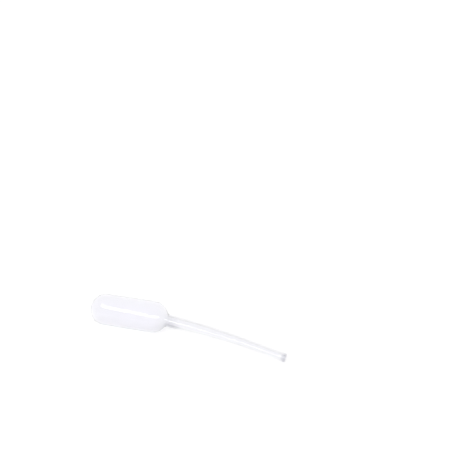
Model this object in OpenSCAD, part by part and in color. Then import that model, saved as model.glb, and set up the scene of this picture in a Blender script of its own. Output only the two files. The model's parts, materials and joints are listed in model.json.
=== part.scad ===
// Plastic dropper pipette: a squeeze bulb and a hollow stem, blown as one piece.
//
// It lies on a level surface (Z = 0) as it comes to rest. The stem has a slight
// set: it leaves the shoulder at an angle and bows a little along its length.
// So the pipette rolls on its bulb until the tip touches, and the bulb's straight
// side and the tip carry it. The bulb's axis runs along +X, towards the tip, and
// the origin is below the middle of the part. Sizes are in millimetres.

/* [Bulb] */
// Length of the bulb, from its closed end to the top of its shoulder
bulb_len = 37.5; // [24:0.5:60]
// Outer diameter of the bulb, which has a round dome at each end
bulb_d = 15; // [11:0.5:18]
// Wall of the bulb, thin enough to squeeze
bulb_wall = 0.5; // [0.3:0.05:1]

/* [Stem] */
// Length of the stem along its own line, from the top of the shoulder to the tip
stem_len = 57.5; // [45:0.5:120]
// Outer diameter of the stem where it leaves the shoulder
stem_root_d = 5.8; // [4.4:0.1:8]
// Wall of the stem at the shoulder
stem_wall = 0.7; // [0.4:0.05:1]
// Radius of the hollow fillet between the shoulder and the stem
neck_fillet = 2; // [1:0.1:3]

/* [Tip] */
// Length of the straight, untapered end of the stem
tip_len = 8; // [3:0.5:15]
// Outer diameter of the tip
tip_d = 4; // [3:0.1:5]
// Bore of the tip
tip_bore_d = 2.4; // [1:0.1:3.4]

/* [Set of the stem] */
// Angle at which the stem leaves the shoulder, from the bulb's axis
neck_bend = 5.4; // [3.5:0.1:12]
// Further angle through which the stem bows, from the shoulder to the tip
stem_bow = 5.6; // [1:0.1:10]

/* [Closing weld] */
// Length of the weld that closes the bulb's end, straight across the dome
weld_len = 6; // [3:0.5:9]
// Thickness of the weld
weld_t = 0.6; // [0.4:0.05:1.2]
// Height of the weld above the dome
weld_h = 0.3; // [0.15:0.05:0.6]
// Turn of the weld about the bulb's axis, from level
weld_turn = 35; // [-90:5:90]

/* [Hidden] */
$fn = 96;

plastic = [0.94, 0.94, 0.98, 0.6];

bulb_r = bulb_d / 2;
bulb_straight = bulb_len - bulb_d;      // the cylinder between the two domes
stem_root_r = stem_root_d / 2;
tip_r = tip_d / 2;

// The neck: its fillet is centred just inside the place where it would only
// graze the shoulder's dome, so that the two surfaces cross cleanly.
fillet_bite = 0.05;
fillet_reach = bulb_r + neck_fillet - fillet_bite;
fillet_out = stem_root_r + neck_fillet;
neck_len = sqrt(pow(fillet_reach, 2) - pow(fillet_out, 2));  // from the dome's centre
neck_depth = 1;                          // how far the neck reaches into the dome
overrun = 1;                             // how far the bore is cut past the tip

// The bow: small kinks between straight, tapered lengths. A ball bridges each
// kink. It stands a hair proud of the lengths, which stop just short of its
// centre, so that the surfaces cross cleanly.
bends = 4;
bend_step = stem_bow / bends;
ball_proud = 0.015;
ball_gap = 0.05;
taper_len = stem_len - (neck_len - bulb_r) - tip_len;
taper_step = taper_len / (bends + 1);

// Where the tip lies, in the plane of the stem: along the bulb's axis from the
// shoulder's centre, and off that axis.
function heading(i) = neck_bend + i * bend_step;
function total(list) = list * [for (v = list) 1];
tip_heading = heading(bends);
tip_along = neck_len * cos(neck_bend) + tip_len * cos(tip_heading)
    + total([for (i = [0 : bends]) taper_step * cos(heading(i))]);
tip_off = neck_len * sin(neck_bend) + tip_len * sin(tip_heading)
    + total([for (i = [0 : bends]) taper_step * sin(heading(i))]);

// The roll at which the tip's rim touches the surface that the bulb lies on: it
// solves  bulb_r = tip_off * c + tip_r * sqrt(1 - (sin(tip_heading) * c)^2)  for
// c, the cosine of the stem's angle from straight down.
slope = sin(tip_heading);
reach = sqrt(pow(tip_off, 2) - pow(slope, 2) * (pow(bulb_r, 2) - pow(tip_r, 2)));
roll_cos = (bulb_r * tip_off - tip_r * reach) / (pow(tip_off, 2) + pow(tip_r * slope, 2));
roll = acos(roll_cos);

// The corners of the part's box, from the shoulder's centre.
x_low = -bulb_straight - bulb_r - weld_h;
x_high = tip_along + tip_r * slope;
y_low = -max(bulb_r, tip_off * sin(roll) + tip_r * sqrt(1 - pow(slope * sin(roll), 2)));
y_high = bulb_r;

// A quarter of a disc, in the corner between +X and +Y.
module quarter_disc(r) {
    intersection() {
        circle(r);
        square(r);
    }
}

// A capsule along -X: a cylinder with a round dome at each end. The centre of
// the dome at the shoulder is at the origin.
module capsule(r) {
    rotate([0, 90, 0])
        rotate_extrude() {
            quarter_disc(r);
            translate([0, -bulb_straight])
                square([r, bulb_straight]);
            translate([0, -bulb_straight])
                mirror([0, 1])
                    quarter_disc(r);
        }
}

// The waist between a dome and a stem, along +X from the dome's centre, with its
// hollow fillet. It starts inside the dome.
module neck(dome_r, stem_r, fillet_r) {
    start = (dome_r - neck_depth) / fillet_reach;
    rotate([0, 90, 0])
        rotate_extrude()
            difference() {
                polygon([
                    [0, start * neck_len],
                    [start * fillet_out, start * neck_len],
                    [fillet_out, neck_len],
                    [0, neck_len]
                ]);
                translate([fillet_out, neck_len])
                    circle(fillet_r);
            }
}

// A stretch of a tapered rod along +X. The rod would be taper_step long, with the
// given radii at its ends, and the stretch leaves out the two given lengths.
module taper(r_start, r_end, skip_start, skip_end) {
    shrink = (r_end - r_start) / taper_step;
    translate([skip_start, 0, 0])
        rotate([0, 90, 0])
            cylinder(h = taper_step - skip_start - skip_end,
                     r1 = r_start + shrink * skip_start, r2 = r_end - shrink * skip_end);
}

// The bowed, tapered rod from the neck to the tip, one straight length at a time.
module bowed_rod(r_root, r_tip, extra, i = 0) {
    r_start = r_root + (r_tip - r_root) * i / (bends + 1);
    r_end = r_root + (r_tip - r_root) * (i + 1) / (bends + 1);
    taper(r_start, r_end, i == 0 ? 0 : ball_gap, i == bends ? 0 : ball_gap);
    translate([taper_step, 0, 0])
        if (i < bends) {
            sphere(r_end + ball_proud);
            rotate([0, bend_step, 0])
                bowed_rod(r_root, r_tip, extra, i + 1);
        } else {
            rotate([0, 90, 0])
                cylinder(h = tip_len + extra, r = r_tip);
        }
}

// Neck and stem, set at the neck's angle to the bulb and rolled about its axis.
module stem(dome_r, r_root, r_tip, fillet_r, extra = 0) {
    rotate([-roll, 0, 0])
        rotate([0, neck_bend, 0]) {
            neck(dome_r, r_root, fillet_r);
            translate([neck_len, 0, 0])
                bowed_rod(r_root, r_tip, extra);
        }
}

// The thin bar across the closed end, where the blown tube was pinched shut.
module weld() {
    translate([-bulb_straight, 0, 0])
        rotate([weld_turn, 0, 0])
            intersection() {
                sphere(bulb_r + weld_h);
                translate([-bulb_r - 2 * weld_h, -weld_len / 2, -weld_t / 2])
                    cube([bulb_r / 2, weld_len, weld_t]);
            }
}

// The air space in the bulb and the bore of the stem, open at the tip.
module hollow() {
    capsule(bulb_r - bulb_wall);
    stem(bulb_r - bulb_wall, stem_root_r - stem_wall, tip_bore_d / 2,
         neck_fillet + stem_wall, overrun);
}

module pipette() {
    color(plastic)
        translate([-(x_low + x_high) / 2, -(y_low + y_high) / 2, bulb_r])
            difference() {
                union() {
                    capsule(bulb_r);
                    stem(bulb_r, stem_root_r, tip_r, neck_fillet);
                    weld();
                }
                hollow();
            }
}

pipette();
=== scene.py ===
"""A disposable dropper pipette, blown in one piece, lying on a white table.

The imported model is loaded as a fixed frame. Its mounts say where the bulb and the
tip are, and the other places are worked out from them. Sizes are in metres unless
a name or a comment says otherwise.
"""

from __future__ import annotations

import json
import logging
import math
from collections.abc import Callable, Iterable
from dataclasses import dataclass, field
from enum import Enum

import bpy
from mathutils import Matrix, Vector


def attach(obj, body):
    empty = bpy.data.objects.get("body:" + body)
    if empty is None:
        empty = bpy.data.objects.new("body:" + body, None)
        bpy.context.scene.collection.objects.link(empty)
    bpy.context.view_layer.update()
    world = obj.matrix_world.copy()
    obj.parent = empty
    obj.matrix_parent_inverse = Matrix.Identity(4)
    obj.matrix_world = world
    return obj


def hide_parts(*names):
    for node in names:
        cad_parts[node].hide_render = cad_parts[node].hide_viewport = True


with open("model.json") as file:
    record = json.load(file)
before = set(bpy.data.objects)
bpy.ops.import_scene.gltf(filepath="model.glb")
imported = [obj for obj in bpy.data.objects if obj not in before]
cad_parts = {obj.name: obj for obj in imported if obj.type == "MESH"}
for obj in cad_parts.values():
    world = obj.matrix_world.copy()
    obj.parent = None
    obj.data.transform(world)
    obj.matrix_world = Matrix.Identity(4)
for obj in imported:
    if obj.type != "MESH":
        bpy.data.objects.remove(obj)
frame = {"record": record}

MM = 0.001
Tint = tuple[float, float, float]
THICK_AND_SHADE_MARK = "thick_and_shade"  # point attribute: how dense the plastic is, with painted shade and shadow added
STEM_MARK = "stem"  # point attribute: 0 on the bulb, 1 on the stem
LEAST_WEIGHT = 0.004  # a weight below this is left out
NOISE_MIDDLE = (0.3, 0.7)  # nearly all of a noise pattern lies between these
log = logging.getLogger("pipette")


# --------------------------------------------------------------------------
# Small helpers
# --------------------------------------------------------------------------


def let_go() -> None:
    """Leave edit mode and deselect everything."""
    if bpy.context.object is not None and bpy.context.object.mode != "OBJECT":
        bpy.ops.object.mode_set(mode="OBJECT")
    bpy.ops.object.select_all(action="DESELECT")


def pick(*objects: bpy.types.Object) -> None:
    """Select these objects alone.

    Args:
        *objects: The objects, the first of which becomes the active one.
    """
    let_go()
    for each in objects:
        each.select_set(True)
    bpy.context.view_layer.objects.active = objects[0]


def turn_selected(angle: float, axis: str, centre: Vector) -> None:
    """Turn what is selected in edit mode about an axis through a point.

    With no window open the operator turns the other way, so the angle is negated.

    Args:
        angle: The angle, by the right-hand rule.
        axis: "X", "Y" or "Z".
        centre: The point that stays where it is.
    """
    bpy.ops.transform.rotate(
        value=-angle, orient_axis=axis, orient_type="GLOBAL", center_override=centre
    )


def smooth_step(value: float) -> float:
    """Ease a value between 0 and 1, flat at both ends."""
    value = min(max(value, 0.0), 1.0)
    return value * value * (3 - 2 * value)


def spread(start: float, end: float, step: float) -> list[float]:
    """Cut a stretch into even steps, none longer than step, and list where each one ends."""
    count = max(1, math.ceil(abs(end - start) / step - 1e-6))
    return [start + (end - start) * (i + 1) / count for i in range(count)]


# --------------------------------------------------------------------------
# The line that the sections follow
# --------------------------------------------------------------------------


@dataclass(frozen=True)
class Mount:
    """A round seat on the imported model, with its middle, axis, radius and length."""

    place: Vector
    axis: Vector
    radius: float
    length: float

    @classmethod
    def named(cls, name: str) -> Mount:
        """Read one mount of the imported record.

        Args:
            name: The mount's name in the record.

        Returns:
            The mount, in metres.
        """
        entry = next(m for m in frame["record"]["mounts"] if m["name"] == name)
        return cls(
            place=Vector(entry["pos_m"]),
            axis=Vector(entry["axis"]).normalized(),
            radius=entry["dims"]["r_mm"] * MM,
            length=entry["dims"]["length_mm"] * MM,
        )

    def end(self, side: int) -> Vector:
        """Give the middle of one end: 1 for where the axis points, -1 for the other."""
        return self.place + self.axis * (side * self.length / 2)


@dataclass(frozen=True)
class Ring:
    """One round section: its centre, its heading below +X and its radius."""

    place: Vector
    heading: float
    radius: float


@dataclass
class Course:
    """The line of the pipette: along the bulb's axis, then down the bowed stem.

    It is laid out with the bow straight below the bulb, in the plane of X and Z,
    and roll then turns it about the bulb's axis to where the tip rests.
    """

    bulb: Mount
    tip: Mount
    neck_angle: float = math.radians(5.4)
    neck_length: float = 8.0804 * MM
    taper_length: float = 48.9196 * MM
    bow_margin: float = 0.1  # share of the taper that is straight, at each end
    refinements: int = 3  # rounds of closing in on a point's place along the line

    @property
    def closed(self) -> Vector:
        """Centre of the dome at the bulb's closed end."""
        return self.bulb.end(1)

    @property
    def shoulder(self) -> Vector:
        """Centre of the dome at the bulb's shoulder."""
        return self.bulb.end(-1)

    @property
    def length(self) -> float:
        """Length of the line, from the shoulder's centre to the tip's rim."""
        return self.neck_length + self.taper_length + self.tip.length

    @property
    def tip_angle(self) -> float:
        """Heading of the tip below the bulb's axis."""
        return self.tip.axis.angle(-self.bulb.axis)

    @property
    def roll(self) -> float:
        """Turn about the bulb's axis that brings the stem from straight down to its side."""
        reach = self.tip.end(1) - self.shoulder
        return math.atan2(reach.y, -reach.z)

    def stem(self, distance: float) -> Ring:
        """Follow the stem's line.

        Args:
            distance: Length along the line, from the shoulder's centre.

        Returns:
            The place and heading there, with no radius.
        """
        start = self.neck_length + self.taper_length * self.bow_margin
        span = self.taper_length * (1 - 2 * self.bow_margin)
        turn = self.tip_angle - self.neck_angle
        bent = min(max(distance - start, 0.0), span)
        heading = self.neck_angle + turn * bent / span
        straight = min(distance, start)
        along = straight * math.cos(self.neck_angle)
        below = straight * math.sin(self.neck_angle)
        along += (math.sin(heading) - math.sin(self.neck_angle)) * span / turn
        below += (math.cos(self.neck_angle) - math.cos(heading)) * span / turn
        beyond = max(distance - start - span, 0.0)
        along += beyond * math.cos(heading)
        below += beyond * math.sin(heading)
        place = self.shoulder + Vector((along, 0, -below))
        return Ring(place, heading, 0.0)

    def along(self, point: Vector) -> float:
        """Say how far along the line a point of the unrolled shell lies.

        Args:
            point: A point on or near the shell, before it is rolled.

        Returns:
            Its distance from the shoulder's centre, less than 0 on the bulb.
        """
        gone = point.x - self.shoulder.x
        if gone <= 0:
            return gone
        for _ in range(self.refinements):
            ring = self.stem(gone)
            ahead = Vector((math.cos(ring.heading), 0, -math.sin(ring.heading)))
            gone = max(gone + (point - ring.place).dot(ahead), 0.0)
        return gone

    def around(self, point: Vector) -> tuple[float, float]:
        """Say where a point of the unrolled shell lies around the line.

        Args:
            point: A point on or near the shell, before it is rolled.

        Returns:
            Its angle about the line, from +Y towards up, and its distance from the line.
        """
        gone = self.along(point)
        ring = self.stem(gone) if gone > 0 else Ring(self.shoulder, 0.0, 0.0)
        offset = point - ring.place
        up = Vector((math.sin(ring.heading), 0, math.cos(ring.heading)))
        high, wide = offset.dot(up), offset.y
        return math.atan2(high, wide), math.hypot(high, wide)


# --------------------------------------------------------------------------
# Finishes
# --------------------------------------------------------------------------


@dataclass(frozen=True)
class Pattern:
    """A noise pattern: patches to the metre, their stretch along X, and its octaves."""

    scale: float
    stretch: float = 1.0
    detail: float = 2.0


@dataclass
class Nodes:
    """A material's or world's node tree, with short ways to add to it."""

    tree: bpy.types.NodeTree

    @classmethod
    def of_material(cls, name: str) -> tuple[bpy.types.Material, Nodes]:
        """Make an empty material.

        Args:
            name: The material's name.

        Returns:
            The material, and its nodes.
        """
        material = bpy.data.materials.new(name)
        material.use_nodes = True
        material.node_tree.nodes.clear()
        return material, cls(material.node_tree)

    def add(self, kind: str, **settings: object) -> bpy.types.Node:
        """Add a node.

        Args:
            kind: The node's type, without its ShaderNode prefix.
            **settings: Attributes of the node to set.

        Returns:
            The new node.
        """
        node = self.tree.nodes.new("ShaderNode" + kind)
        for key, value in settings.items():
            setattr(node, key, value)
        return node

    def join(self, output: bpy.types.NodeSocket, target: bpy.types.NodeSocket) -> None:
        """Link an output to an input."""
        self.tree.links.new(output, target)

    def noise(self, coordinates: bpy.types.NodeSocket, pattern: Pattern) -> bpy.types.NodeSocket:
        """Add a noise pattern.

        Args:
            coordinates: The coordinates that it reads.
            pattern: Its scale, stretch and detail.

        Returns:
            The pattern's value output.
        """
        mapping = self.add("Mapping")
        mapping.inputs["Scale"].default_value = (1 / pattern.stretch, 1, 1)
        self.join(coordinates, mapping.inputs["Vector"])
        noise = self.add("TexNoise")
        noise.inputs["Scale"].default_value = pattern.scale
        noise.inputs["Detail"].default_value = pattern.detail
        self.join(mapping.outputs["Vector"], noise.inputs["Vector"])
        return noise.outputs["Fac"]

    def ranged(self, value: bpy.types.NodeSocket, low: float, high: float) -> bpy.types.NodeSocket:
        """Stretch the middle of a noise pattern over a range.

        Args:
            value: The pattern's value.
            low: What its low end becomes.
            high: What its high end becomes.

        Returns:
            The stretched value's output.
        """
        node = self.add("MapRange")
        node.inputs["From Min"].default_value, node.inputs["From Max"].default_value = NOISE_MIDDLE
        node.inputs["To Min"].default_value = low
        node.inputs["To Max"].default_value = high
        self.join(value, node.inputs["Value"])
        return node.outputs["Result"]

    def blended(self, share: bpy.types.NodeSocket, first: bpy.types.NodeSocket | Tint,
                second: bpy.types.NodeSocket | Tint) -> bpy.types.NodeSocket:
        """Blend two colours.

        Args:
            share: The output that gives the second colour's share.
            first: The first colour, or the output that gives it.
            second: The second colour, or the output that gives it.

        Returns:
            The blended colour's output.
        """
        blend = self.add("Mix", data_type="RGBA")
        self.join(share, blend.inputs["Factor"])
        for given, target in ((first, blend.inputs["A"]), (second, blend.inputs["B"])):
            if isinstance(given, tuple):
                target.default_value = (*given, 1)
            else:
                self.join(given, target)
        return blend.outputs["Result"]

    def seen_directly(self) -> bpy.types.NodeSocket:
        """Tell what is seen, straight or through gloss or plastic, from what lights the rest.

        Returns:
            The output of a value that is 1 for camera, glossy and transmission rays
            before their first matt bounce, and 0 for all others.
        """
        path = self.add("LightPath")
        value = path.outputs["Is Camera Ray"]
        for other in ("Is Glossy Ray", "Is Transmission Ray"):
            larger = self.add("Math", operation="MAXIMUM")
            self.join(value, larger.inputs[0])
            self.join(path.outputs[other], larger.inputs[1])
            value = larger.outputs["Value"]
        unscattered = self.add("Math", operation="LESS_THAN")
        unscattered.inputs[1].default_value = 0.5
        self.join(path.outputs["Diffuse Depth"], unscattered.inputs[0])
        both = self.add("Math", operation="MULTIPLY")
        self.join(value, both.inputs[0])
        self.join(unscattered.outputs["Value"], both.inputs[1])
        return both.outputs["Value"]


@dataclass(frozen=True)
class Passage:
    """How light passes a wall: its tint where the wall is met squarely, and at the rim.

    Spread is how far in from the rim the rim's tint reaches, from 0 to 1. In the plastic's colour,
    a rim tint lighter than the face is a painted reflection of the white room, and a darker one
    is painted shade. For the lamps' rays, the rim tint sets how dark the shadow is.
    """

    face: Tint
    rim: Tint
    spread: float = 0.6


@dataclass(frozen=True)
class SoftPolyethylene:
    """Natural polyethylene with no pigment: milky, faintly blue and softly glossy.

    Its refraction is set far below the real one, so that the walls show as evenly
    clear as thin ones do, without dark edges. A separate skin with the real
    refraction gives the gloss. The tints turn lighter towards the rims as a
    painted reflection of the white room, and the thick tint also carries
    painted shade and shadow.
    """

    name: str = "natural_polyethylene"
    # the rim tints of clear, milky and stem are lighter than their faces: a painted reflection of
    # the white room
    clear: Passage = Passage((0.932, 0.928, 0.96), (0.98, 0.98, 0.99))
    milky: Passage = Passage((0.912, 0.908, 0.94), (0.98, 0.98, 0.99))
    stem: Passage = Passage((0.965, 0.965, 0.985), (1.0, 1.0, 1.0))
    # this darker tint serves denser plastic and painted shade and shadow alike
    thick_and_shade: Passage = Passage((0.8, 0.8, 0.84), (0.65, 0.65, 0.69))
    flow: Pattern = Pattern(260, stretch=6, detail=3)
    haze: Pattern = Pattern(420, stretch=2)
    grain: Pattern = Pattern(700, stretch=5, detail=3)
    clearness: float = 0.92
    refraction: float = 1.03
    smoothest: float = 0.08
    roughest: float = 0.16
    gloss: float = 1.0
    gloss_roughness: float = 0.06
    gloss_refraction: float = 1.5
    skin_depth: float = 0.006 * MM
    lamp_through_bulb: Passage = Passage((0.985, 0.985, 0.99), (0.95, 0.95, 0.96), 0.35)
    lamp_through_stem: Passage = Passage((0.9, 0.9, 0.905), (0.5, 0.5, 0.505), 0.35)

    def material(self) -> bpy.types.Material:
        """Make the material.

        Returns:
            A new material, with its patterns in object space.
        """
        material, nodes = Nodes.of_material(self.name)
        place = nodes.add("TexCoord").outputs["Object"]
        plastic = nodes.add("BsdfPrincipled")
        plastic.inputs["IOR"].default_value = self.refraction
        plastic.inputs["Transmission Weight"].default_value = self.clearness
        plastic.inputs["Coat Weight"].default_value = self.gloss
        plastic.inputs["Coat Roughness"].default_value = self.gloss_roughness
        plastic.inputs["Coat IOR"].default_value = self.gloss_refraction
        self.colour(nodes, place, plastic)
        self.skin(nodes, place, plastic)
        lit = nodes.add("MixShader")
        nodes.join(nodes.add("LightPath").outputs["Is Shadow Ray"], lit.inputs[0])
        nodes.join(plastic.outputs["BSDF"], lit.inputs[1])
        nodes.join(self.lamp_through(nodes), lit.inputs[2])
        nodes.join(lit.outputs["Shader"], nodes.add("OutputMaterial").inputs["Surface"])
        return material

    def passing(self, nodes: Nodes, passage: Passage) -> bpy.types.NodeSocket:
        """Run a passage's tint at the face into its tint where the wall turns away; in the
        plastic's colour, lighter rims are a painted reflection and darker ones are painted shade.

        Args:
            nodes: The material's nodes.
            passage: The two tints and their spread.

        Returns:
            The tint's output.
        """
        grazing = nodes.add("LayerWeight")
        grazing.inputs["Blend"].default_value = passage.spread
        return nodes.blended(grazing.outputs["Facing"], passage.face, passage.rim)

    def colour(self, nodes: Nodes, place: bpy.types.NodeSocket, plastic: bpy.types.Node) -> None:
        """Colour the plastic with long, faint flow marks and with rims painted lighter as a
        reflection. It is darker where it is denser and where shade and shadow are painted on.

        Args:
            nodes: The material's nodes.
            place: The coordinates that the pattern reads.
            plastic: The shader that takes the colour.
        """
        flow = nodes.ranged(nodes.noise(place, self.flow), 0, 1)
        # the flow marks are the plastic's own; the lighter rims are a painted reflection
        bulb = nodes.blended(flow, self.passing(nodes, self.clear), self.passing(nodes, self.milky))
        stem = nodes.add("Attribute", attribute_name=STEM_MARK)
        wall = nodes.blended(stem.outputs["Fac"], bulb, self.passing(nodes, self.stem))
        # darker tint where the plastic is denser or where shade and shadow are painted on
        thick_and_shade = nodes.add("Attribute", attribute_name=THICK_AND_SHADE_MARK)
        tint = nodes.blended(thick_and_shade.outputs["Fac"], wall, self.passing(nodes, self.thick_and_shade))
        nodes.join(tint, plastic.inputs["Base Color"])

    def skin(self, nodes: Nodes, place: bpy.types.NodeSocket, plastic: bpy.types.Node) -> None:
        """Give the surface its haze and the fine unevenness of a blown skin.

        Args:
            nodes: The material's nodes.
            place: The coordinates that the patterns read.
            plastic: The shader that takes the roughness and the bump.
        """
        haze = nodes.ranged(nodes.noise(place, self.haze), self.smoothest, self.roughest)
        nodes.join(haze, plastic.inputs["Roughness"])
        bump = nodes.add("Bump")
        bump.inputs["Strength"].default_value = 1.0
        bump.inputs["Distance"].default_value = self.skin_depth
        nodes.join(nodes.noise(place, self.grain), bump.inputs["Height"])
        nodes.join(bump.outputs["Normal"], plastic.inputs["Normal"])

    def lamp_through(self, nodes: Nodes) -> bpy.types.NodeSocket:
        """Let the lamps' light pass the wall unbent, with less of it through the stem.

        Args:
            nodes: The material's nodes.

        Returns:
            The output of a shader for the rays that look for a lamp.
        """
        stem = nodes.add("Attribute", attribute_name=STEM_MARK)
        tint = nodes.blended(
            stem.outputs["Fac"],
            self.passing(nodes, self.lamp_through_bulb),
            self.passing(nodes, self.lamp_through_stem),
        )
        through = nodes.add("BsdfTransparent")
        nodes.join(tint, through.inputs["Color"])
        return through.outputs["BSDF"]


@dataclass(frozen=True)
class WhiteTable:
    """A plain white table top that keeps shadows, and shows white where it has none."""

    name: str = "white_table"
    colour: Tint = (0.9, 0.9, 0.9)
    lift: float = 0.3

    def material(self) -> bpy.types.Material:
        """Make the material: a white matt paint, lifted a little where it is seen.

        Returns:
            A new material.
        """
        material, nodes = Nodes.of_material(self.name)
        paint = nodes.add("BsdfDiffuse")
        paint.inputs["Color"].default_value = (*self.colour, 1)
        glow = nodes.add("Emission")
        scaled = nodes.add("Math", operation="MULTIPLY")
        scaled.inputs[1].default_value = self.lift
        nodes.join(nodes.seen_directly(), scaled.inputs[0])
        nodes.join(scaled.outputs["Value"], glow.inputs["Strength"])
        both = nodes.add("AddShader")
        nodes.join(paint.outputs["BSDF"], both.inputs[0])
        nodes.join(glow.outputs["Emission"], both.inputs[1])
        nodes.join(both.outputs["Shader"], nodes.add("OutputMaterial").inputs["Surface"])
        return material


# --------------------------------------------------------------------------
# The pipette
# --------------------------------------------------------------------------


class Wall(Enum):
    """The two faces of the plastic, with how coarsely each is cut along its length."""

    OUTSIDE = 1.0
    INSIDE = 1.7


@dataclass(frozen=True)
class Steps:
    """The longest step between sections: a turn on round places, a length on straight ones."""

    first: float = math.radians(1.5)
    weld: float = math.radians(1.5)
    dome: float = math.radians(3.5)
    bulb: float = 1.5 * MM
    shoulder: float = math.radians(2.5)
    fillet: float = math.radians(5)
    stem: float = 1.2 * MM
    tip: float = 2 * MM
    rim: float = math.radians(18)


@dataclass(frozen=True)
class ClosingWeld:
    """The bar straight across the closed end, where the blown tube was pinched shut."""

    length: float = 6.0 * MM
    thickness: float = 0.6 * MM
    height: float = 0.3 * MM
    edge: float = 0.14 * MM  # width of its soft edge
    turn: float = math.radians(35)  # about the bulb's axis, from level
    margin: float = math.radians(4)  # how far past its ends the fine steps go


@dataclass(frozen=True)
class PartingLine:
    """The fine ridge that the two halves of the mould leave along both sides."""

    height: float = 0.08 * MM
    width: float = 0.15 * MM
    least: float = 0.4  # the share of its height that doesn't depend on the shell's radius


@dataclass(frozen=True)
class DensePlasticAndShade:
    """Where the plastic is denser or shade is painted on it, how far that reaches and how strong it
    is.

    The run below the neck is a painted shadow, and the band along the stem's far side is painted
    shade. The neck and the tip are partly denser plastic and partly painted shade, and the closing
    weld is denser plastic. A side is an angle about the line at rest, from +Y towards up. A share
    is the strongest that a place gets, where 1 is the finish's own tint for thick plastic and
    shade.
    """

    # the neck ring is partly denser plastic and partly painted shade
    neck_reach: float = 2.5 * MM
    neck_share: float = 0.35
    # the run below the neck is a painted shadow, on the underside
    shadow_run_start: float = 3.0 * MM
    shadow_run_reach: float = 3.0 * MM
    shadow_run_side: float = math.radians(220)
    # the band along the stem's far side is painted shade
    shade_band_side: float = math.radians(60)
    shade_band_share: float = 0.3
    # the tip is partly denser plastic and partly painted shadow
    tip_reach: float = 1.0 * MM
    weld_share: float = 0.5


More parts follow.
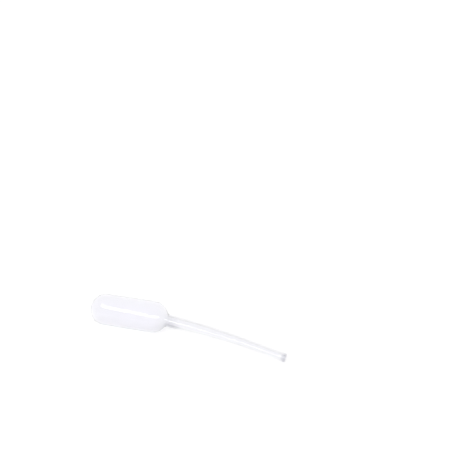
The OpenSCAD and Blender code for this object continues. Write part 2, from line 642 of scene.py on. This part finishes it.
@dataclass
class BlownShell:
    """Bulb, neck, stem and tip, blown and drawn as one hollow piece of plastic.

    Each face of the wall is drawn from the closed end to the tip, section by
    section, and the two are joined at the tip's rim.
    """

    course: Course
    bore: Mount
    name: str = "pipette_shell"
    bulb_wall: float = 0.5 * MM
    stem_wall: float = 0.7 * MM
    stem_root: float = 2.9 * MM
    fillet: float = 2.0 * MM
    rim_round: float = 0.2 * MM
    sectors: int = 240
    ripple_height: float = 0.05 * MM
    ripple_size: float = 11 * MM
    crease: float = math.radians(50)  # a sharper bend than this is shaded as an edge
    steps: Steps = Steps()
    weld: ClosingWeld = ClosingWeld()
    parting: PartingLine = PartingLine()
    # denser plastic, and painted shade and shadow
    dense_and_shade: DensePlasticAndShade = DensePlasticAndShade()

    @property
    def seam(self) -> float:
        """Angle of the parting line about the unrolled course."""
        return self.weld.turn - self.course.roll

    # Sections ------------------------------------------------------------

    def dome_and_bulb(self, wall: Wall, radius: float) -> Iterable[Ring]:
        """Give the sections of the closed dome and of the bulb's straight side.

        Args:
            wall: The face of the plastic.
            radius: Radius of the bulb on that face.

        Yields:
            Each section, from the closed end on.
        """
        closed, shoulder = self.course.closed, self.course.shoulder
        weld_end = math.asin(self.weld.length / 2 / radius) + self.weld.margin
        angles = [self.steps.first]
        angles += spread(angles[-1], weld_end, self.steps.weld * wall.value)
        angles += spread(angles[-1], math.pi / 2, self.steps.dome * wall.value)
        for angle in angles:
            back = Vector((-radius * math.cos(angle), 0, 0))
            yield Ring(closed + back, 0.0, radius * math.sin(angle))
        for x in spread(closed.x, shoulder.x, self.steps.bulb * wall.value):
            yield Ring(Vector((x, closed.y, closed.z)), 0.0, radius)

    def shoulder_and_neck(self, wall: Wall, radius: float, root: float) -> Iterable[Ring]:
        """Give the sections of the shoulder's dome and of the hollow fillet after it.

        Args:
            wall: The face of the plastic.
            radius: Radius of the bulb on that face.
            root: Radius of the stem where the fillet ends.

        Yields:
            Each section, from the bulb's side to the fillet's end.
        """
        course = self.course
        out = self.stem_root + self.fillet
        reach = math.hypot(course.neck_length, out)
        meeting = math.atan2(out, course.neck_length)
        for angle in spread(math.pi / 2, meeting, self.steps.shoulder * wall.value):
            done = (math.pi / 2 - angle) / (math.pi / 2 - meeting)
            heading = course.neck_angle * smooth_step(done)
            ahead = Vector((math.cos(heading), 0, -math.sin(heading)))
            centre = course.shoulder + ahead * (radius * math.cos(angle))
            yield Ring(centre, heading, radius * math.sin(angle))
        for angle in spread(math.pi + meeting, math.pi * 1.5, self.steps.fillet * wall.value):
            done = (angle - math.pi - meeting) / (math.pi / 2 - meeting)
            hollow = (reach - radius) * (1 - done) + (out - root) * done
            along = course.neck_length + hollow * math.cos(angle)
            line = course.stem(along)
            yield Ring(line.place, line.heading, out + hollow * math.sin(angle))

    def stem_and_tip(self, wall: Wall, root: float, end: float) -> Iterable[Ring]:
        """Give the sections of the tapered stem, of the straight tip and of its rounded rim.

        Args:
            wall: The face of the plastic.
            root: Radius of the stem where it starts.
            end: Radius of the tip.

        Yields:
            Each section, from the fillet's end to the middle of the rim.
        """
        course = self.course
        start = course.neck_length
        for done in spread(0, 1, self.steps.stem * wall.value / course.taper_length):
            line = course.stem(start + course.taper_length * done)
            yield Ring(line.place, line.heading, root + (end - root) * done)
        tip_start = start + course.taper_length
        tip_end = course.length
        for along in spread(tip_start, tip_end - self.rim_round, self.steps.tip):
            line = course.stem(along)
            yield Ring(line.place, line.heading, end)
        side = -1 if wall is Wall.OUTSIDE else 1
        for angle in spread(0, math.pi / 2, self.steps.rim):
            line = course.stem(tip_end - self.rim_round * (1 - math.sin(angle)))
            turned = self.rim_round * (1 - math.cos(angle)) * side
            yield Ring(line.place, line.heading, end + turned)

    def rings(self, wall: Wall) -> list[Ring]:
        """List the sections of one face.

        Args:
            wall: The face of the plastic.

        Returns:
            Every section, from the closed end to the tip's rim.
        """
        if wall is Wall.OUTSIDE:
            radius, root, end = self.course.bulb.radius, self.stem_root, self.course.tip.radius
        else:
            radius = self.course.bulb.radius - self.bulb_wall
            root, end = self.stem_root - self.stem_wall, self.bore.radius
        return [
            *self.dome_and_bulb(wall, radius),
            *self.shoulder_and_neck(wall, radius, root),
            *self.stem_and_tip(wall, root, end),
        ]

    # Making --------------------------------------------------------------

    def first_section(self, ring: Ring) -> bpy.types.Object:
        """Add the small disc at the closed end, with two of its corners on the parting line.

        Args:
            ring: The first section.

        Returns:
            The new object, in edit mode with its rim selected.
        """
        let_go()
        bpy.ops.mesh.primitive_circle_add(
            vertices=self.sectors,
            radius=ring.radius,
            fill_type="TRIFAN",
            location=(0, 0, 0),
            rotation=(0, 0, 0),
        )
        form = bpy.context.object
        bpy.ops.object.mode_set(mode="EDIT")
        turn_selected(math.pi / 2, "Y", Vector((0, 0, 0)))
        turn_selected(self.seam, "X", Vector((0, 0, 0)))
        bpy.ops.transform.translate(value=ring.place)
        return form

    def draw_face(self, wall: Wall) -> bpy.types.Object:
        """Draw one face of the wall, section by section.

        Args:
            wall: The face to draw.

        Returns:
            The open form, in object mode.
        """
        rings = self.rings(wall)
        form = self.first_section(rings[0])
        bpy.ops.mesh.select_mode(type="EDGE")
        bpy.ops.mesh.region_to_loop()
        for before, after in zip(rings, rings[1:]):
            bpy.ops.mesh.extrude_edges_move(
                TRANSFORM_OT_translate={"value": after.place - before.place}
            )
            if not math.isclose(after.radius, before.radius):
                size = after.radius / before.radius
                bpy.ops.transform.resize(value=(size, size, size), center_override=after.place)
            if not math.isclose(after.heading, before.heading):
                turn_selected(after.heading - before.heading, "Y", after.place)
        bpy.ops.mesh.select_all(action="SELECT")
        bpy.ops.mesh.normals_make_consistent(inside=wall is Wall.INSIDE)
        let_go()
        return form

    def raise_by(self, form: bpy.types.Object, label: str, height: float,
                 weight: Callable[[Vector], float]) -> None:
        """Raise part of a face along its normals.

        Args:
            form: The face.
            label: A name for the raised part.
            height: How high it is at a weight of 1.
            weight: Gives the weight at a point of the unrolled face.
        """
        group = form.vertex_groups.new(name=label)
        for vertex in form.data.vertices:
            share = weight(vertex.co)
            if share > LEAST_WEIGHT:
                group.add([vertex.index], share, "REPLACE")
        pick(form)
        raised = form.modifiers.new(label, "DISPLACE")
        raised.mid_level = 0
        raised.strength = height
        raised.vertex_group = group.name
        bpy.ops.object.modifier_apply(modifier=raised.name)
        form.vertex_groups.clear()

    def weld_weight(self, point: Vector) -> float:
        """Weight of the closing weld: a soft-edged bar straight across the closed end.

        Args:
            point: A point of the unrolled shell.

        Returns:
            The weight, from 0 to 1.
        """
        axis = self.course.closed
        if point.x > axis.x - self.course.bulb.radius / 2:
            return 0.0
        y, z = point.y - axis.y, point.z - axis.z
        along = abs(y * math.cos(self.seam) + z * math.sin(self.seam))
        across = abs(z * math.cos(self.seam) - y * math.sin(self.seam))
        side = (self.weld.thickness / 2 - across) / self.weld.edge + 0.5
        ends = (self.weld.length / 2 - along) / (2 * self.weld.edge) + 0.5
        return smooth_step(side) * smooth_step(ends)

    def parting_weight(self, point: Vector) -> float:
        """Weight of the parting line, which is a little lower where the shell is thin.

        Args:
            point: A point of the unrolled shell.

        Returns:
            The weight, from 0 to 1.
        """
        angle, radius = self.course.around(point)
        off = (angle - self.seam + math.pi / 2) % math.pi - math.pi / 2
        away = abs(off) * radius / self.parting.width
        height = min(1.0, self.parting.least + radius / self.course.bulb.radius)
        return math.exp(-away * away) * height

    def thick_and_shade_weight(self, point: Vector) -> float:
        """Weight of the denser plastic and of the painted shade and shadow.

        It lies round the neck, partly denser plastic and partly painted shade. It lies below the
        neck as a painted shadow, and along the stem's far side as a band of painted shade. At the
        cut tip it is partly denser plastic and partly painted shadow. In the closing weld it is
        denser plastic.

        Args:
            point: A point of the unrolled shell.

        Returns:
            The weight, from 0 to 1.
        """
        dense_and_shade = self.dense_and_shade
        along = self.course.along(point)
        turned = self.course.around(point)[0] + self.course.roll
        past_neck = along - self.course.neck_length
        # the neck ring: partly denser plastic, partly painted shade
        ring = math.exp(-((past_neck / dense_and_shade.neck_reach) ** 2))
        # painted shadow under the neck
        shadow_run = math.exp(-(((past_neck - dense_and_shade.shadow_run_start) / dense_and_shade.shadow_run_reach) ** 2))
        shadow_run_side = max(0.0, math.cos(turned - dense_and_shade.shadow_run_side)) ** 2
        # painted shade along the stem's far side
        shade_band_side = max(0.0, math.cos(turned - dense_and_shade.shade_band_side)) ** 2
        shade_band = smooth_step(past_neck / dense_and_shade.shadow_run_reach) * shade_band_side * dense_and_shade.shade_band_share
        # the cut tip: partly denser plastic, partly painted shadow
        tip = math.exp(-(((self.course.length - along) / dense_and_shade.tip_reach) ** 2))
        neck = ring * dense_and_shade.neck_share * (1 + shadow_run_side) + shadow_run * shadow_run_side
        weld = self.weld_weight(point) * dense_and_shade.weld_share
        return min(1.0, neck + shade_band + tip + weld)

    def stem_weight(self, point: Vector) -> float:
        """Weight of the stem: 0 on the bulb, 1 from the neck on."""
        return smooth_step(self.course.along(point) / self.course.neck_length)

    def mark(self, shell: bpy.types.Object, label: str, weight: Callable[[Vector], float]) -> None:
        """Store a weight at every point of the unrolled shell, for its finish to read.

        Args:
            shell: The shell.
            label: The name that the finish reads it by.
            weight: Gives the weight at a point.
        """
        marks = shell.data.attributes.new(label, "FLOAT", "POINT")
        for vertex in shell.data.vertices:
            marks.data[vertex.index].value = weight(vertex.co)

    def ripple(self, form: bpy.types.Object, label: str) -> None:
        """Make a face gently uneven, as blown plastic is.

        Args:
            form: The face.
            label: A name for the unevenness.
        """
        waves = bpy.data.textures.new(label, "CLOUDS")
        waves.noise_scale = self.ripple_size
        pick(form)
        uneven = form.modifiers.new(label, "DISPLACE")
        uneven.texture = waves
        uneven.texture_coords = "LOCAL"
        uneven.strength = self.ripple_height
        bpy.ops.object.modifier_apply(modifier=uneven.name)
        bpy.data.textures.remove(waves)

    def build(self) -> bpy.types.Object:
        """Draw both faces, join them at the tip's rim and turn the whole to where it rests.

        Returns:
            The closed shell, with its place in its mesh.
        """
        outside = self.draw_face(Wall.OUTSIDE)
        self.raise_by(outside, "parting_line", self.parting.height, self.parting_weight)
        self.raise_by(outside, "closing_weld", self.weld.height, self.weld_weight)
        inside = self.draw_face(Wall.INSIDE)
        self.ripple(inside, "inner_ripple")
        pick(outside, inside)
        bpy.ops.object.join()
        shell = bpy.context.object
        shell.name = shell.data.name = self.name
        # this mark holds denser plastic and painted shade and shadow
        self.mark(shell, THICK_AND_SHADE_MARK, self.thick_and_shade_weight)
        self.mark(shell, STEM_MARK, self.stem_weight)
        bpy.ops.object.mode_set(mode="EDIT")
        bpy.ops.mesh.select_mode(type="EDGE")
        bpy.ops.mesh.select_all(action="DESELECT")
        bpy.ops.mesh.select_non_manifold()
        bpy.ops.mesh.bridge_edge_loops()
        bpy.ops.mesh.select_all(action="SELECT")
        turn_selected(self.course.roll, "X", self.course.shoulder)
        let_go()
        pick(shell)
        bpy.ops.object.shade_smooth_by_angle(angle=self.crease)
        return shell

    def dress(self, shell: bpy.types.Object, finish: SoftPolyethylene) -> None:
        """Give the shell its finish and its place on the frame.

        Args:
            shell: The shell.
            finish: The plastic that it is made of.
        """
        shell.data.materials.clear()
        shell.data.materials.append(finish.material())
        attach(shell, "root")
        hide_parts("pipette")


# --------------------------------------------------------------------------
# The studio
# --------------------------------------------------------------------------


@dataclass(frozen=True)
class View:
    """The camera: the point on the table that it looks at, its side and its lens."""

    aim: Vector = field(default_factory=lambda: Vector((-10.27, 102.98, 0)) * MM)
    bearing: float = math.radians(15.4)
    elevation: float = math.radians(29.9)
    distance: float = 606 * MM
    lens: float = 90.0
    sensor: float = 36.0
    nearest: float = 10 * MM

    def direction(self, bearing: float, elevation: float) -> Vector:
        """Give a direction out from the table.

        Args:
            bearing: Angle from the camera's side of the table, towards its right.
            elevation: Angle above the table.

        Returns:
            A unit vector.
        """
        around = self.bearing + bearing
        level = math.cos(elevation)
        return Vector((math.sin(around) * level, -math.cos(around) * level, math.sin(elevation)))

    def place_camera(self) -> None:
        """Add the camera and make it the scene's."""
        back = self.direction(0, self.elevation)
        let_go()
        bpy.ops.object.camera_add(
            location=self.aim + back * self.distance,
            rotation=back.to_track_quat("Z", "Y").to_euler(),
        )
        camera = bpy.context.object
        camera.name = "camera"
        camera.data.lens = self.lens
        camera.data.sensor_width = self.sensor
        camera.data.clip_start = self.nearest
        bpy.context.scene.camera = camera


class LampUse(Enum):
    """What a lamp is for: to light the pipette, or only to glint in its gloss."""

    LIGHT = "light"
    GLINT = "glint"


class LampShape(Enum):
    """The outline of a lamp's face."""

    RECTANGLE = "RECTANGLE"
    ELLIPSE = "ELLIPSE"


@dataclass(frozen=True)
class Softbox:
    """A flat lamp that faces the bulb, placed by its direction from it.

    Its bearing, elevation and turn are in degrees.
    """

    name: str
    use: LampUse
    bearing: float
    elevation: float
    distance: float
    width: float
    height: float
    radiance: float
    turn: float = 0.0
    shape: LampShape = LampShape.RECTANGLE

    def hang(self, view: View, target: Vector) -> None:
        """Add the lamp.

        Args:
            view: The camera's view, from which bearings are counted.
            target: The point that the lamp faces.
        """
        out = view.direction(math.radians(self.bearing), math.radians(self.elevation))
        facing = out.to_track_quat("Z", "Y").to_euler()
        let_go()
        bpy.ops.object.light_add(
            type="AREA", location=target + out * self.distance, rotation=facing
        )
        lamp = bpy.context.object
        lamp.name = self.name
        lamp.rotation_euler.rotate_axis("Z", math.radians(self.turn))
        lamp.data.shape = self.shape.value
        lamp.data.size = self.width
        lamp.data.size_y = self.height
        lamp.data.energy = self.radiance * math.pi * self.width * self.height
        lamp.visible_transmission = False
        lamp.visible_diffuse = self.use is LampUse.LIGHT
        lamp.visible_glossy = self.use is LampUse.GLINT


@dataclass(frozen=True)
class Studio:
    """The white table, the room's soft light, the softboxes and the camera."""

    view: View = View()
    table_side: float = 6.0
    room_light: float = 0.62
    softboxes: tuple[Softbox, ...] = (
        Softbox("key_softbox", LampUse.LIGHT, bearing=-30, elevation=37, distance=3.5,
                width=2.3, height=1.25, radiance=7.3),
        Softbox("side_strip", LampUse.GLINT, bearing=-40, elevation=43, distance=0.9,
                width=0.085, height=0.8, radiance=4.6, turn=34),
        Softbox("dome_panel", LampUse.GLINT, bearing=-52, elevation=45, distance=0.9,
                width=0.24, height=0.09, radiance=4.6, shape=LampShape.ELLIPSE),
        Softbox("shoulder_panel", LampUse.GLINT, bearing=16, elevation=33, distance=0.9,
                width=1.5, height=0.3, radiance=4.2, turn=-14, shape=LampShape.ELLIPSE),
    )

    def lay_table(self) -> None:
        """Add the table top under the pipette."""
        let_go()
        bpy.ops.mesh.primitive_plane_add(size=self.table_side, location=(0, 0, 0))
        table = bpy.context.object
        table.name = "table"
        table.data.materials.append(WhiteTable().material())

    def light_room(self) -> None:
        """Give the room its even light, and show it white where it is seen."""
        world = bpy.data.worlds.new("room")
        bpy.context.scene.world = world
        world.use_nodes = True
        world.node_tree.nodes.clear()
        nodes = Nodes(world.node_tree)
        strength = nodes.add("MapRange")
        strength.inputs["To Min"].default_value = self.room_light
        strength.inputs["To Max"].default_value = 1.0
        nodes.join(nodes.seen_directly(), strength.inputs["Value"])
        backdrop = nodes.add("Background")
        backdrop.inputs["Color"].default_value = (1, 1, 1, 1)
        nodes.join(strength.outputs["Result"], backdrop.inputs["Strength"])
        nodes.join(backdrop.outputs["Background"], nodes.add("OutputWorld").inputs["Surface"])

    def set_up(self) -> None:
        """Set up everything around the pipette."""
        self.lay_table()
        self.light_room()
        bulb = Mount.named("bulb_body")
        for softbox in self.softboxes:
            softbox.hang(self.view, bulb.place)
        self.view.place_camera()
        bpy.context.scene.view_settings.view_transform = "Standard"


def main() -> None:
    """Build the pipette and its studio, and write how large it came out."""
    logging.basicConfig(level=logging.INFO, format="%(message)s")
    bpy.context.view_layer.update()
    course = Course(bulb=Mount.named("bulb_body"), tip=Mount.named("tip"))
    maker = BlownShell(course=course, bore=Mount.named("tip_bore"))
    shell = maker.build()
    maker.dress(shell, SoftPolyethylene())
    log.info("%s: %d faces", shell.name, len(shell.data.polygons))
    Studio().set_up()


if __name__ == "__main__":
    main()
